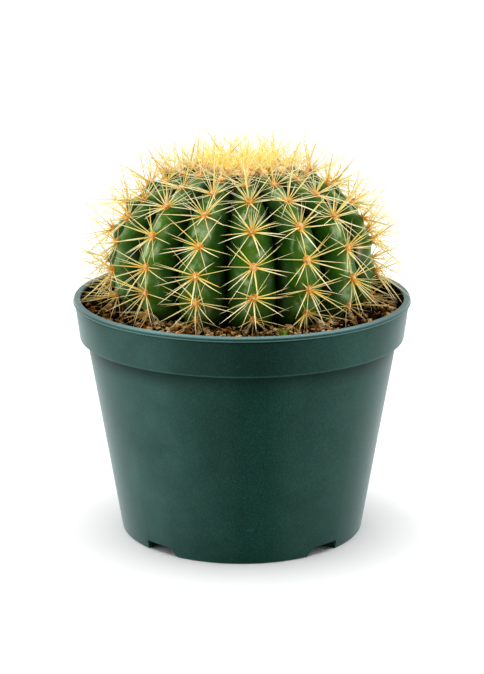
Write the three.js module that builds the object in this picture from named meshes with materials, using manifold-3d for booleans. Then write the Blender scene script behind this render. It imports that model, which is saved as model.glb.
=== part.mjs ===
import * as THREE from 'three';
import { mergeVertices } from 'three/addons/utils/BufferGeometryUtils.js';
import Module from 'manifold-3d';

// Golden barrel cactus in a nursery pot. Lengths are millimetres and angles are degrees.
// The origin is on the pot's axis, on the surface that the pot stands on. The front faces -Y,
// and an azimuth is counted from the front towards +X.

const wasm = await Module();
wasm.setup();

const { clamp, degToRad, lerp, radToDeg, seededRandom, smoothstep } = THREE.MathUtils;
const seed = 41;
const clearance = 0.3;

const potSize = {
  rimRadius: 76,
  rimInnerRadius: 72.9,
  height: 108.3,
  rimBeadHeight: 2.6,
  bandTopRadius: 75.3,
  bandFootRadius: 73.2,
  bandFootHeight: 90.3,
  wallTopRadius: 70.2,
  footRadius: 55.3,
  footRingWidth: 2.6,
  shell: 1.3,
  floorUnderside: 3.4,
  edge: 0.8,
  segments: 60,
};

// The notches face the front and back corners. The side of each one that is nearer the front or
// the back of the pot leans in.
const notches = [
  { azimuth: 39.5, leaningSide: -1 },
  { azimuth: 140.5, leaningSide: 1 },
  { azimuth: 219.5, leaningSide: -1 },
  { azimuth: 320.5, leaningSide: 1 },
];
const notchSize = { width: 18, height: 4.3, lean: 4, innerRadius: 46 };
const drainHoleSize = { distance: 45, radius: 4 };

const soilSize = { wallHeight: 101.8, mound: 2.4, frontRise: 0.9, lump: 0.7, segments: 45 };
const soilRings = [66, 60, 54, 46];

const stemSize = {
  radius: 59.2,
  widestHeight: 118,
  upperHeight: 49,
  lowerHeight: 41,
  upperRoundness: 2.45,
  lowerRoundness: 1.6,
  crownDip: 3,
  crownDipRadius: 12,
  furrowDepth: 9,
  tubercleHeight: 1.2,
  buriedFrom: 98,
};

// One entry for each rib, starting at the front and going round by way of +X: how far the first
// areole below the crown lies from the crown's centre, and the mean step to the next one.
const ribCount = 15;
const frontRibAzimuth = 4.5;
const firstAreole = [29.8, 29.8, 29.8, 28.6, 33, 27, 31, 35, 28, 32, 26.5, 30.5, 35.4, 35.4, 25.4];
const areoleStep = [13.5, 13, 13.3, 10.8, 12.6, 13, 12.2, 13.4, 12.8, 12.4, 13.2, 12.7, 11.7, 13, 12.3];
const stepWave = { size: 1.6, start: 30, length: 67 };
const lastAreoleArc = 100.6;

const pad = { radius: 1.6, thickness: 1.2 };
const spineWidth = 1;
const spineLimits = { side: 75.4, top: 181.6, insideRim: 72, rimTop: 109.5 };

const crownSize = { radius: 22.5, edge: 0.8, thickness: 2, ringArc: 9, ringCount: 8 };
const crownSpineLength = 15.5;

const rootSize = { neckRadius: 8, neckHeight: 84, tipHeight: 34, sideCount: 8, sideLength: 30 };

// Helpers

function withoutEmptyFaces(geometry) {
  const { index } = geometry;
  const kept = [];
  for (let i = 0; i < index.count; i += 3) {
    const corners = [index.getX(i), index.getX(i + 1), index.getX(i + 2)];
    if (new Set(corners).size === 3) kept.push(...corners);
  }
  return geometry.setIndex(kept);
}

// The geometry with its shared corners joined, holding positions only.
function joined(geometry) {
  const bare = new THREE.BufferGeometry();
  bare.setAttribute('position', geometry.getAttribute('position'));
  bare.setIndex(geometry.index);
  return withoutEmptyFaces(mergeVertices(bare, 1e-4));
}

function solidOf(geometry) {
  const shell = joined(geometry);
  const vertProperties = new Float32Array(shell.getAttribute('position').array);
  const triVerts = new Uint32Array(shell.index.array);
  return new wasm.Manifold(new wasm.Mesh({ numProp: 3, vertProperties, triVerts }));
}

function geometryOf(solid) {
  const { vertProperties, triVerts } = solid.getMesh();
  const geometry = new THREE.BufferGeometry();
  geometry.setAttribute('position', new THREE.BufferAttribute(vertProperties, 3));
  geometry.setIndex(new THREE.BufferAttribute(triVerts, 1));
  geometry.computeVertexNormals();
  return geometry;
}

// A profile of [radius, height] points, turned round the upright axis.
function turned(profile, segments) {
  const points = profile.map(([radius, height]) => new THREE.Vector2(radius, height));
  return new THREE.LatheGeometry(points, segments).rotateX(Math.PI / 2);
}

function atAzimuth(azimuth, radius, height) {
  const angle = degToRad(azimuth);
  return new THREE.Vector3(radius * Math.sin(angle), -radius * Math.cos(angle), height);
}

function randomBetween(low, high) {
  return lerp(low, high, seededRandom());
}

// Pot

function potWallRadius(height) {
  return lerp(potSize.footRadius, potSize.wallTopRadius, height / potSize.bandFootHeight);
}

function potProfile() {
  const { shell, edge, height, bandFootHeight, floorUnderside } = potSize;
  const beadFoot = height - potSize.rimBeadHeight;
  const floorTop = floorUnderside + shell;
  return [
    [0, floorUnderside],
    [potSize.footRadius - potSize.footRingWidth, floorUnderside],
    [potSize.footRadius - potSize.footRingWidth, 0],
    [potSize.footRadius - edge, 0],
    [potWallRadius(edge), edge],
    [potSize.wallTopRadius, bandFootHeight],
    [potSize.bandFootRadius - edge, bandFootHeight],
    [potSize.bandFootRadius, bandFootHeight + edge],
    [potSize.bandTopRadius, beadFoot - edge],
    [potSize.rimRadius, beadFoot],
    [potSize.rimRadius, height - edge],
    [potSize.rimRadius - edge, height],
    [potSize.rimInnerRadius + edge / 2, height],
    [potSize.rimInnerRadius, height - edge],
    [potSize.bandTopRadius - shell, beadFoot - edge],
    [potSize.bandFootRadius - shell, bandFootHeight + shell],
    [potSize.wallTopRadius - shell, bandFootHeight + shell],
    [potWallRadius(floorTop) - shell, floorTop],
    [0, floorTop],
  ];
}

// A drainage notch through the foot ring, with a round hole in the floor behind it.
function drainCutter({ azimuth, leaningSide }) {
  const { width, height, lean, innerRadius } = notchSize;
  const foot = (width / 2) * leaningSide;
  const outline = new THREE.Shape();
  outline.moveTo(foot, -1);
  outline.lineTo(-foot, -1);
  outline.lineTo(-foot, height);
  outline.lineTo(foot - lean * leaningSide, height);
  outline.closePath();
  const depth = potSize.wallTopRadius - innerRadius;
  const notch = new THREE.ExtrudeGeometry(outline, { depth, bevelEnabled: false });
  notch.rotateX(Math.PI / 2).translate(0, -innerRadius, 0).rotateZ(degToRad(azimuth));
  const hole = new THREE.CylinderGeometry(drainHoleSize.radius, drainHoleSize.radius, 8, 12);
  const place = atAzimuth(azimuth, drainHoleSize.distance, potSize.floorUnderside);
  hole.rotateX(Math.PI / 2).translate(place.x, place.y, place.z);
  return solidOf(notch).add(solidOf(hole));
}

function buildPot() {
  let pot = solidOf(turned(potProfile(), potSize.segments));
  for (const notch of notches) pot = pot.subtract(drainCutter(notch));
  return geometryOf(pot);
}

// Crest line: the outline of the stem over the tops of its ribs, from the crown's centre down to
// the root neck, as [radius, height]. Above and below its widest place it is part of an oval.

class CrestLine extends THREE.Curve {
  getPoint(share, target = new THREE.Vector2()) {
    const turn = share * Math.PI;
    const isUpper = share < 0.5;
    const power = 2 / (isUpper ? stemSize.upperRoundness : stemSize.lowerRoundness);
    const halfHeight = isUpper ? stemSize.upperHeight : -stemSize.lowerHeight;
    const radius = stemSize.radius * Math.sin(turn) ** power;
    const rise = halfHeight * Math.abs(Math.cos(turn)) ** power;
    const dip = isUpper ? stemSize.crownDip * Math.exp(-((radius / stemSize.crownDipRadius) ** 2)) : 0;
    return target.set(radius, stemSize.widestHeight + rise - dip);
  }
}

const crestLine = new CrestLine();
crestLine.arcLengthDivisions = 400;
const crestLength = crestLine.getLength();

// The point at an arc length down the crest line, lifted off it, and the directions out of the
// stem and down along it.
function crestAt(arc, lift = 0) {
  const share = clamp(arc / crestLength, 0, 1);
  const point = crestLine.getPointAt(share);
  const down = crestLine.getTangentAt(share);
  const out = new THREE.Vector2(-down.y, down.x);
  point.addScaledVector(out, lift);
  return { radius: Math.max(point.x, 0), height: point.y, out, down };
}

function ribAzimuth(rib) {
  const angle = (360 / ribCount) * rib;
  return frontRibAzimuth + angle + 2 * Math.sin(degToRad(angle));
}

// How far down a rib an areole lies, where level 0 is the rib's first one below the crown. Steps
// are longest on the shoulder and shorter towards the crown and the base.
function areoleArc(rib, level) {
  const index = rib % ribCount;
  const even = firstAreole[index] + areoleStep[index] * level;
  return even - stepWave.size * Math.sin((2 * Math.PI * (even - stepWave.start)) / stepWave.length);
}

// An areole sits on a low bump, which fades out at the crown and below the potting mix.
function bumpAt(arc) {
  const { tubercleHeight, buriedFrom } = stemSize;
  return tubercleHeight * smoothstep(arc, 8, 26) * (1 - smoothstep(arc, buriedFrom, buriedFrom + 8));
}

// Stem: a sphere's grid of rows and columns, drawn to the ribbed surface. Across a rib the columns
// lie at set shares of the way from its crest to the furrow. Down a rib one row goes through each
// areole and one through each hollow between two.

const columnShares = [0, 0.4, 0.8, 1];
const columnsPerRib = 2 * (columnShares.length - 1);
const crownShares = [0, 0.3, 0.6, 0.84];
const levels = { start: -0.5, end: 6.5 };
const levelRows = 2 * (levels.end - levels.start);
const buriedRows = 5;
const stemRows = crownShares.length + levelRows + buriedRows;

function rowArc(rib, row) {
  if (row < crownShares.length) return areoleArc(rib, levels.start) * crownShares[row];
  const step = row - crownShares.length;
  if (step <= levelRows) return areoleArc(rib, levels.start + step / 2);
  return lerp(areoleArc(rib, levels.end), crestLength, (step - levelRows) / buriedRows);
}

function rowBump(rib, row) {
  const step = row - crownShares.length;
  const isAtAreole = step > 0 && step < levelRows && step % 2 === 1;
  return isAtAreole ? bumpAt(rowArc(rib, row)) : 0;
}

// Across a rib the surface falls away from the crest as an arc of an oval.
function flankDrop(share) {
  return 1 - Math.sqrt(1 - share * share);
}

function stemPoint(column, row) {
  const rib = Math.floor(column / columnsPerRib);
  const place = column % columnsPerRib;
  const isPastFurrow = place >= columnShares.length;
  const near = isPastFurrow ? rib + 1 : rib;
  const far = isPastFurrow ? rib : rib + 1;
  const share = columnShares[isPastFurrow ? columnsPerRib - place : place];
  const azimuth = lerp(ribAzimuth(near), ribAzimuth(far), share / 2);
  const arc = lerp(rowArc(near, row), rowArc(far, row), share / 2);
  const depth = stemSize.furrowDepth * smoothstep(crestAt(arc).radius, 4, stemSize.radius);
  const { radius, height } = crestAt(arc, rowBump(near, row) * (1 - share) - depth * flankDrop(share));
  return atAzimuth(azimuth, radius, height);
}

function buildStem() {
  const columns = ribCount * columnsPerRib;
  const geometry = new THREE.SphereGeometry(1, columns, stemRows);
  const { position, uv } = geometry.attributes;
  for (let i = 0; i < position.count; i += 1) {
    const row = Math.round((1 - uv.getY(i)) * stemRows);
    const column = Math.floor(uv.getX(i) * columns + 0.25);
    const { x, y, z } = stemPoint(column, row);
    position.setXYZ(i, x, y, z);
  }
  return geometryOf(solidOf(geometry));
}

// The hollow that the stem's buried base leaves in the potting mix. It is a plain bowl, wider by
// the clearance and by what its flat facets cut off its round wall.
const hollowSize = { topArc: 80, steps: 9, segments: 45, facetAllowance: 0.25 };

function stemHollow() {
  const { topArc, steps, segments, facetAllowance } = hollowSize;
  const profile = [];
  for (let step = 0; step <= steps; step += 1) {
    const arc = lerp(crestLength, topArc, step / steps);
    const { radius, height } = crestAt(arc, clearance + facetAllowance + bumpAt(arc));
    profile.push([step === 0 ? 0 : radius, height]);
  }
  profile.push([0, profile.at(-1)[1]]);
  return solidOf(turned(profile, segments));
}

// Roots: a taproot with tapered side roots, all grown together. The hole for them in the potting
// mix has the same shape, wider by the clearance.

function rootSolid(extra) {
  const { neckRadius, neckHeight, tipHeight, sideCount, sideLength } = rootSize;
  const profile = [
    [0, tipHeight - extra],
    [1.2 + extra, tipHeight],
    [3 + extra, lerp(tipHeight, neckHeight, 0.35)],
    [6 + extra, lerp(tipHeight, neckHeight, 0.8)],
    [neckRadius + extra, neckHeight],
    [0, neckHeight],
  ];
  let roots = solidOf(turned(profile, 12));
  for (let i = 0; i < sideCount; i += 1) {
    const length = sideLength + extra;
    const side = new THREE.CylinderGeometry(1.6 + extra, 0.6 + extra, length, 6);
    side.translate(0, -length / 2, 0);
    side.rotateX(degToRad(28 + 5 * (i % 3)));
    side.rotateZ(degToRad(137.5 * i));
    side.translate(0, 0, lerp(neckHeight - 12, tipHeight + 14, i / (sideCount - 1)));
    roots = roots.add(solidOf(side));
  }
  return roots;
}

function buildRoots() {
  return geometryOf(rootSolid(0).subtract(stemHollow()));
}

// Potting mix, heaped a little round the stem

function soilHeight(x, y) {
  const radius = Math.hypot(x, y);
  const angle = Math.atan2(x, -y);
  const mound = soilSize.mound * smoothstep(72 - radius, 0, 18);
  const lumps = Math.sin(5 * angle + radius * 0.4) + Math.sin(9 * angle - radius * 0.23);
  return soilSize.wallHeight + mound + soilSize.frontRise * Math.cos(angle) + (soilSize.lump * lumps) / 2;
}

function buildSoil() {
  const inset = potSize.shell + clearance + 0.1;
  const floor = potSize.floorUnderside + potSize.shell + clearance;
  const ledge = potSize.bandFootHeight + potSize.shell + clearance;
  const profile = [
    [0, floor],
    [potWallRadius(floor) - inset, floor],
    [potWallRadius(potSize.bandFootHeight) - inset, ledge],
    [potSize.bandFootRadius - inset, ledge],
    [potSize.bandFootRadius - inset + 1.4, soilSize.wallHeight],
    ...soilRings.map((radius) => [radius, soilSize.wallHeight]),
    [0, soilSize.wallHeight],
  ];
  const geometry = turned(profile, soilSize.segments);
  const { position } = geometry.attributes;
  for (let i = 0; i < position.count; i += 1) {
    const isTop = position.getZ(i) > soilSize.wallHeight - 0.1;
    if (isTop) position.setZ(i, soilHeight(position.getX(i), position.getY(i)));
  }
  return geometryOf(solidOf(geometry).subtract(stemHollow()).subtract(rootSolid(clearance)));
}

// Areoles and spines. An areole is a low felted pad with 20 faces, and a spine is one of its faces
// drawn out to a point, so each spine has three sides and grows out of its pad.

// A pad's faces, each with its tilt from straight out of the stem, and its turn from straight down
// the rib. The faces that lean least carry the central spines, and the next two rings the radials.
function makePadShape() {
  const goldenRatio = (1 + Math.sqrt(5)) / 2;
  const shape = joined(new THREE.IcosahedronGeometry(1, 0));
  shape.rotateX(Math.atan(1 / goldenRatio)).rotateZ(Math.PI);
  const position = shape.getAttribute('position');
  const corners = Array.from({ length: position.count }, (_, i) => {
    return new THREE.Vector3().fromBufferAttribute(position, i);
  });
  const faces = [];
  for (let i = 0; i < shape.index.count; i += 3) {
    const ends = [0, 1, 2].map((offset) => shape.index.getX(i + offset));
    const triangle = new THREE.Triangle(...ends.map((end) => corners[end]));
    const { x, y, z } = triangle.getMidpoint(new THREE.Vector3());
    const tilt = radToDeg(Math.atan2(Math.hypot(x, y), z));
    faces.push({ ends, tilt, turn: radToDeg(Math.atan2(x, -y)) });
  }
  return { corners, faces };
}

const padShape = makePadShape();

function facesLeaning(from, to) {
  return padShape.faces.filter(({ tilt }) => tilt > from && tilt < to);
}

const outerRadials = { faces: facesLeaning(60, 90), tilt: 78, length: 14 };
const centrals = { faces: facesLeaning(0, 60), tilt: 40, length: 17.5 };
const innerRadials = { faces: facesLeaning(90, 120), tilt: 85, length: 12 };
const downFace = outerRadials.faces.find(({ turn }) => Math.abs(turn) < 10);
const upFace = innerRadials.faces.find(({ turn }) => Math.abs(turn) > 170);

// An areole's own frame has x across the rib, y up along it and z out of it. Spines spread wider
// the older their areole is, so the crown's stand almost upright.
function makeAreole(row, azimuth, arc, lift) {
  const { radius, height, out, down } = crestAt(arc, lift);
  const centre = atAzimuth(azimuth, radius, height);
  const outward = atAzimuth(azimuth, out.x, out.y);
  const upward = atAzimuth(azimuth, -down.x, -down.y);
  const across = new THREE.Vector3().crossVectors(upward, outward);
  const frame = new THREE.Matrix4().makeBasis(across, upward, outward).setPosition(centre);
  const spread = lerp(0.5, 1, smoothstep(arc, 6, 58));
  return { row, centre, frame, spread, tips: new Map() };
}

function makeRowAreoles(rib) {
  const lift = stemSize.tubercleHeight + clearance + pad.thickness;
  const areoles = [];
  for (let level = 0; areoleArc(rib, level) < lastAreoleArc; level += 1) {
    areoles.push(makeAreole(rib, ribAzimuth(rib), areoleArc(rib, level), lift));
  }
  return areoles;
}

const crownRow = 'crown';

function makeCrownAreoles() {
  const { radius, thickness, ringArc, ringCount } = crownSize;
  const lift = stemSize.tubercleHeight + clearance + thickness;
  const areoles = [makeAreole(crownRow, 0, 0.5, lift)];
  for (let i = 0; i < ringCount; i += 1) {
    areoles.push(makeAreole(crownRow, (360 / ringCount) * i, ringArc, lift));
  }
  for (let rib = 0; rib < ribCount; rib += 1) {
    const arc = Math.min(areoleArc(rib, -1), radius - 1);
    areoles.push(makeAreole(crownRow, ribAzimuth(rib), arc, lift - 0.6));
  }
  return areoles;
}

// The space that a pad or a spine takes up, as a line with a width. Spines of one row may cross
// each other, and each areole of the crown keeps clear of all the others.
function padSpace(areole) {
  const owner = areole.row === crownRow ? areole : areole.row;
  return { owner, line: new THREE.Line3(areole.centre, areole.centre), width: pad.radius + 0.2, taper: 0 };
}

function spineSpace(areole, tip) {
  return { ...padSpace(areole), line: new THREE.Line3(areole.centre, tip), width: spineWidth, taper: 1 };
}

function widthAt({ line, width, taper }, point) {
  return width * (1 - taper * (point.distanceTo(line.start) / (line.distance() || 1)));
}

function areApart(first, second) {
  const [firstPoint, secondPoint] = [new THREE.Vector3(), new THREE.Vector3()];
  const gap = Math.sqrt(first.line.distanceSqToLine3(second.line, firstPoint, secondPoint));
  return gap > widthAt(first, firstPoint) + widthAt(second, secondPoint) + clearance + 0.1;
}

function isClear(space, taken) {
  const tip = space.line.end;
  const reach = Math.hypot(tip.x, tip.y);
  if (reach > spineLimits.side || tip.z > spineLimits.top) return false;
  if (tip.z < spineLimits.rimTop && reach > spineLimits.insideRim) return false;
  if (tip.z < soilHeight(tip.x, tip.y) + 2 * clearance) return false;
  return taken.every((other) => other.owner === space.owner || areApart(space, other));
}

// A place for a spine's tip. Each later try stands it further up from the stem and shortens it.
function drawTip(areole, face, kind, attempt) {
  const lean = Math.min(kind.tilt + randomBetween(-5, 5), 87) * areole.spread * (1 - 0.07 * attempt);
  const turn = degToRad(face.turn + randomBetween(-8, 8));
  const longest = areole.row === crownRow ? crownSpineLength : kind.length;
  const length = longest * randomBetween(0.88, 1.08) * (1 - 0.03 * attempt);
  const across = Math.sin(degToRad(lean)) * length;
  const out = Math.cos(degToRad(lean)) * length;
  return new THREE.Vector3(across * Math.sin(turn), -across * Math.cos(turn), out).applyMatrix4(areole.frame);
}

function growSpine(areole, face, kind, taken) {
  for (let attempt = 0; attempt < 9; attempt += 1) {
    const tip = drawTip(areole, face, kind, attempt);
    const space = spineSpace(areole, tip);
    if (isClear(space, taken)) {
      areole.tips.set(face, tip);
      taken.push(space);
      return;
    }
  }
}

// In each row the lowest spine of an areole reaches the next areole down the rib.
function growDownSpines(rowAreoles, taken) {
  rowAreoles.slice(1).forEach((next, i) => {
    rowAreoles[i].tips.set(downFace, next.centre);
    next.tips.set(upFace, null);
    taken.push(spineSpace(rowAreoles[i], next.centre));
  });
}

function growSpines(rows, crownAreoles) {
  const areoles = [...rows.flat(), ...crownAreoles];
  const taken = areoles.map(padSpace);
  for (const row of rows) growDownSpines(row, taken);
  for (const kind of [outerRadials, centrals, innerRadials]) {
    for (const face of kind.faces) {
      const free = areoles.filter(({ tips }) => !tips.has(face));
      for (const areole of free) growSpine(areole, face, kind, taken);
    }
  }
}

// One pad with its spines, as a closed shell.
function areoleSolid({ frame, tips }) {
  const size = new THREE.Vector3(pad.radius, pad.radius, pad.thickness);
  const corners = padShape.corners.map((corner) => corner.clone().multiply(size).applyMatrix4(frame));
  const triangles = [];
  for (const face of padShape.faces) {
    const [a, b, c] = face.ends.map((end) => corners[end]);
    const tip = tips.get(face);
    if (tip) triangles.push(a, b, tip, b, c, tip, c, a, tip);
    else triangles.push(a, b, c);
  }
  return solidOf(new THREE.BufferGeometry().setFromPoints(triangles));
}

function buildSpines(areoles, base) {
  const solids = areoles.map(areoleSolid);
  if (base) solids.unshift(base);
  return geometryOf(solids.reduce((whole, solid) => whole.add(solid)));
}

// The crown's wool is a low cushion on the crests, with the youngest areoles sunk into it.
function woolCushion() {
  const underside = [];
  const top = [];
  for (const share of [1, 0.8, 0.5, 0.2]) {
    const arc = share * crownSize.radius;
    const lift = clearance + bumpAt(arc);
    const low = crestAt(arc, lift);
    const high = crestAt(arc, lift + crownSize.edge + crownSize.thickness * Math.sqrt(1 - share * share));
    underside.unshift([low.radius, low.height]);
    top.push([high.radius, high.height]);
  }
  const bottomCentre = [0, underside[0][1]];
  const topCentre = [0, top.at(-1)[1]];
  return solidOf(turned([bottomCentre, ...underside, ...top, topCentre], 20));
}

// Assembly

const materials = {
  pot: new THREE.MeshStandardMaterial({ color: 0x2f554c, roughness: 0.45, metalness: 0 }),
  soil: new THREE.MeshStandardMaterial({ color: 0x5a3d22, roughness: 0.95, metalness: 0 }),
  stem: new THREE.MeshStandardMaterial({ color: 0x2c6432, roughness: 0.5, metalness: 0 }),
  root: new THREE.MeshStandardMaterial({ color: 0xa98358, roughness: 0.9, metalness: 0 }),
  spine: new THREE.MeshStandardMaterial({ color: 0xecc65c, roughness: 0.5, metalness: 0 }),
  crown: new THREE.MeshStandardMaterial({ color: 0xf0cf6e, roughness: 0.8, metalness: 0 }),
};

const plant = new THREE.Group();

function addPiece(name, geometry, material) {
  const mesh = new THREE.Mesh(geometry, material);
  mesh.name = name;
  plant.add(mesh);
}

seededRandom(seed);
const rows = Array.from({ length: ribCount }, (_, rib) => makeRowAreoles(rib));
const crownAreoles = makeCrownAreoles();
growSpines(rows, crownAreoles);

addPiece('pot', buildPot(), materials.pot);
addPiece('potting_soil', buildSoil(), materials.soil);
addPiece('cactus_stem', buildStem(), materials.stem);
addPiece('roots', buildRoots(), materials.root);
rows.forEach((areoles, rib) => {
  addPiece(`spine_row_${String(rib + 1).padStart(2, '0')}`, buildSpines(areoles), materials.spine);
});
addPiece('crown', buildSpines(crownAreoles, woolCushion()), materials.crown);

export default plant;
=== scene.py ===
import math
import random
import bpy
import numpy as np
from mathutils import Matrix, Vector, noise


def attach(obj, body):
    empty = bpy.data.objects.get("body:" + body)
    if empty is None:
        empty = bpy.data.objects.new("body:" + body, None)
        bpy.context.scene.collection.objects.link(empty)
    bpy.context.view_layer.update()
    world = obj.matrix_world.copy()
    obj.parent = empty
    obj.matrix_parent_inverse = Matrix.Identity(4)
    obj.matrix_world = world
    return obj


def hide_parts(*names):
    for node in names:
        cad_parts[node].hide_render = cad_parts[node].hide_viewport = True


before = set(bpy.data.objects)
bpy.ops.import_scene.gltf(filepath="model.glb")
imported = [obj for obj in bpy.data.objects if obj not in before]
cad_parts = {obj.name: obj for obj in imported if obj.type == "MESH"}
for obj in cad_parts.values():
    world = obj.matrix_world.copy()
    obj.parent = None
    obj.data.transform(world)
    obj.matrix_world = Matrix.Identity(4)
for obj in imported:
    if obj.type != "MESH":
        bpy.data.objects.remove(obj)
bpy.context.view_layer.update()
print("frame loaded:", len(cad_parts), "nodes")

mm = 0.001                # sizes below are in millimetres, the scene is in metres
dice = random.Random(41)  # every random choice in this file comes from here
anyRoll = 6.28            # the most that a small shape is rolled round its own axis, in radians


# Ways of making a material

def linear(hexColour):  # an sRGB hex value as Blender's linear colour
    parts = [int(hexColour[i:i + 2], 16) / 255 for i in (1, 3, 5)]
    return [p / 12.92 if p <= 0.04045 else ((p + 0.055) / 1.055) ** 2.4 for p in parts] + [1.0]


def addNode(tree, kind, inputs, stops=None, **settings):  # inputs may be values or other nodes' sockets
    node = tree.nodes.new(kind)
    for setting, value in settings.items():
        setattr(node, setting, value)
    for place, value in inputs.items():
        if isinstance(value, bpy.types.NodeSocket):
            tree.links.new(value, node.inputs[place])
        else:
            node.inputs[place].default_value = value
    if stops:
        ramp = node.color_ramp.elements
        while len(ramp) < len(stops):
            ramp.new(1.0)
        for element, (position, colour) in zip(ramp, stops):
            element.position = position
            element.color = linear(colour)
    return node


def newMaterial(name, **finish):  # what is the same all over is set on the shader's own sockets
    material = bpy.data.materials.new(name)
    material.use_nodes = True
    tree = material.node_tree
    shader = tree.nodes["Principled BSDF"]
    for socket, value in finish.items():
        shader.inputs[socket.replace("_", " ")].default_value = value
    return material, tree, shader


def feed(tree, shader, **varying):  # what varies over the surface is linked to the shader
    for socket, value in varying.items():
        tree.links.new(value, shader.inputs[socket.replace("_", " ")])


def objectPlace(tree):
    return addNode(tree, "ShaderNodeTexCoord", {}).outputs["Object"]


def painted(tree, name):  # a value that paintPoints has put on the mesh
    return addNode(tree, "ShaderNodeAttribute", {}, attribute_name=name).outputs["Fac"]


def stretched(tree, place, scale):
    return addNode(tree, "ShaderNodeMapping", {"Vector": place, "Scale": scale}).outputs["Vector"]


def noiseAt(tree, place, scale, detail=2.0, roughness=0.5, distortion=0.0):
    return addNode(tree, "ShaderNodeTexNoise", {
        "Vector": place, "Scale": scale, "Detail": detail, "Roughness": roughness,
        "Distortion": distortion}).outputs["Fac"]


def ranged(tree, value, source=(0.0, 1.0), target=(0.0, 1.0), smooth=False):
    limits = dict(zip(("From Min", "From Max", "To Min", "To Max"), (*source, *target)))
    return addNode(tree, "ShaderNodeMapRange", {"Value": value, **limits},
                   interpolation_type="SMOOTHSTEP" if smooth else "LINEAR").outputs["Result"]


def combined(tree, operation, first, second):
    return addNode(tree, "ShaderNodeMath", {0: first, 1: second}, operation=operation).outputs[0]


def ramped(tree, share, stops):
    return addNode(tree, "ShaderNodeValToRGB", {"Fac": share}, stops).outputs["Color"]


def mixed(tree, share, under, over, blend="MIX"):  # over is a hex colour or another node's socket
    over = linear(over) if isinstance(over, str) else over
    return addNode(tree, "ShaderNodeMix", {0: share, 6: under, 7: over},
                   data_type="RGBA", blend_type=blend).outputs[2]


def roughen(tree, shader, height, strength, distance, under=None):  # under: the normal of a coarser bump
    inputs = {"Height": height, "Strength": strength, "Distance": distance}
    if under is not None:
        inputs["Normal"] = under
    normal = addNode(tree, "ShaderNodeBump", inputs).outputs["Normal"]
    feed(tree, shader, Normal=normal)
    return normal


def mottled(name, scale, stops, detail=2.0, bump=None, **finish):  # a material with one noise for its colours
    material, tree, shader = newMaterial(name, **finish)
    spots = noiseAt(tree, objectPlace(tree), scale, detail)
    feed(tree, shader, Base_Color=ramped(tree, spots, stops))
    if bump:
        roughen(tree, shader, spots, *bump)
    return material


# The shot

shot = {
    "cameraPlace": (0.0, -862.66, 323.08),
    "pitchDown": 15.23,             # degrees
    "lens": 105.24,                 # mm on a 36 mm sensor
    "skyFront": 0.03,               # the room behind the camera is dim, as the dark middle of the pot shows
    "skyRound": 1.45,               # the white sweep at the sides and behind
    "skyEdge": (-0.70, 0.05),
    "skyLean": (1.13, 0.76),        # the left is a little brighter than the right
    "overhead": 1.85,
    "overheadSpread": 56.0,
    "overheadTilt": (9.0, 0.0),     # a little towards the camera
    "crownSpot": 5.0,               # a snoot close above the plant, watts
    "crownSpotPlace": (0, 120, 800),
    "crownSpotAim": (0, 0, 170),
    "crownSpotSpread": 14.0,
    "crownSpotFade": 0.7,
    "crownSpotSize": 50,
    "sideBoxes": {(-800, -400, 70): 3.5, (890, -90, 70): 4.0},   # low strips beside the pot: place, watts
    "sideBoxAim": (0, 0, 60),
    "sideBoxSize": (900, 120),
}


def addLight(name, kind, power, place=(0, 0, 0), target=None):
    light = bpy.data.objects.new(name, bpy.data.lights.new(name, kind))
    bpy.context.scene.collection.objects.link(light)
    light.data.energy = power
    light.location = Vector(place) * mm
    if target:
        light.rotation_euler = (Vector(target) - Vector(place)).to_track_quat("-Z", "Y").to_euler()
    return light


def setUpShot():
    camera = bpy.data.objects.new("camera", bpy.data.cameras.new("camera"))
    bpy.context.scene.collection.objects.link(camera)
    camera.location = Vector(shot["cameraPlace"]) * mm
    camera.rotation_euler = (math.radians(90 - shot["pitchDown"]), 0, 0)
    camera.data.lens = shot["lens"]
    camera.data.clip_end = 100
    bpy.context.scene.camera = camera

    overhead = addLight("overhead", "SUN", shot["overhead"])
    overhead.data.angle = math.radians(shot["overheadSpread"])
    overhead.rotation_euler = [math.radians(tilt) for tilt in shot["overheadTilt"]] + [0]

    spot = addLight("crown_spot", "SPOT", shot["crownSpot"], shot["crownSpotPlace"], shot["crownSpotAim"])
    spot.data.spot_size = math.radians(shot["crownSpotSpread"])
    spot.data.spot_blend = shot["crownSpotFade"]
    spot.data.shadow_soft_size = shot["crownSpotSize"] * mm

    for place, power in shot["sideBoxes"].items():
        box = addLight("softbox", "AREA", power, place, shot["sideBoxAim"])
        box.data.shape = "RECTANGLE"
        box.data.size, box.data.size_y = (side * mm for side in shot["sideBoxSize"])

    world = bpy.data.worlds.new("sweep")
    world.use_nodes = True
    bpy.context.scene.world = world
    tree = world.node_tree
    ways = addNode(tree, "ShaderNodeTexCoord", {}).outputs["Generated"]
    parts = addNode(tree, "ShaderNodeSeparateXYZ", {0: ways}).outputs
    depth = ranged(tree, parts["Y"], shot["skyEdge"], (shot["skyFront"], shot["skyRound"]), smooth=True)
    lean = ranged(tree, parts["X"], (-1.0, 1.0), shot["skyLean"])
    background = tree.nodes["Background"]
    feed(tree, background, Strength=combined(tree, "MULTIPLY", depth, lean))
    background.inputs["Color"].default_value = (1, 1, 1, 1)
    bpy.context.scene.view_settings.view_transform = "Standard"


setUpShot()


# Ways of making a piece

def clearSelection():
    if bpy.context.mode != "OBJECT":
        bpy.ops.object.mode_set(mode="OBJECT")
    bpy.ops.object.select_all(action="DESELECT")


def startShape(name):  # names the primitive that was just added and goes into edit mode, all selected
    piece = bpy.context.object
    piece.name = piece.data.name = name
    bpy.ops.object.mode_set(mode="EDIT")
    bpy.ops.mesh.select_all(action="SELECT")
    return piece


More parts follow.
